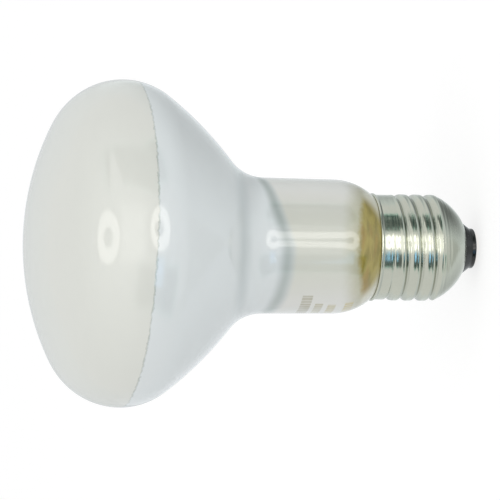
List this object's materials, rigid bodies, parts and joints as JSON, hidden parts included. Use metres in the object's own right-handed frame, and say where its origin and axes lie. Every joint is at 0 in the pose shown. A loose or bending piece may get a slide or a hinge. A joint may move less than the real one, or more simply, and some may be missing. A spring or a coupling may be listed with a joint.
{
  "type": "mushroom reflector bulb",
  "caption": "Mushroom-shaped reflector light bulb with a wide domed satin-white face, a silvered conical back, a short straight neck and an E27 screw cap.",
  "frame": {"origin": "middle of the flat solder tip on the centre contact, where the lamp meets the bottom of its holder", "axes": "+Z along the lamp's axis from the cap to the face; the thread's groove fades out in the collar towards -Y"},
  "size_m": [0.08, 0.08, 0.1121],
  "materials": {
    "coated_glass": "glossy clear glass over a satin-white face coat and a silvered back",
    "plated_shell": "bright nickel plate",
    "cement": "matt",
    "black_glass": "glossy black, opaque",
    "contact_brass": "plain",
    "solder": "dull tin",
    "lead_wire": "plain"
  },
  "bodies": {
    "root": {"glass_bulb": "coated_glass", "screw_shell": "plated_shell", "basing_cement": "cement", "cap_insulator": "black_glass", "centre_contact": "contact_brass", "contact_solder": "solder", "centre_lead": "lead_wire", "side_lead": "lead_wire"}
  },
  "joints": []
}
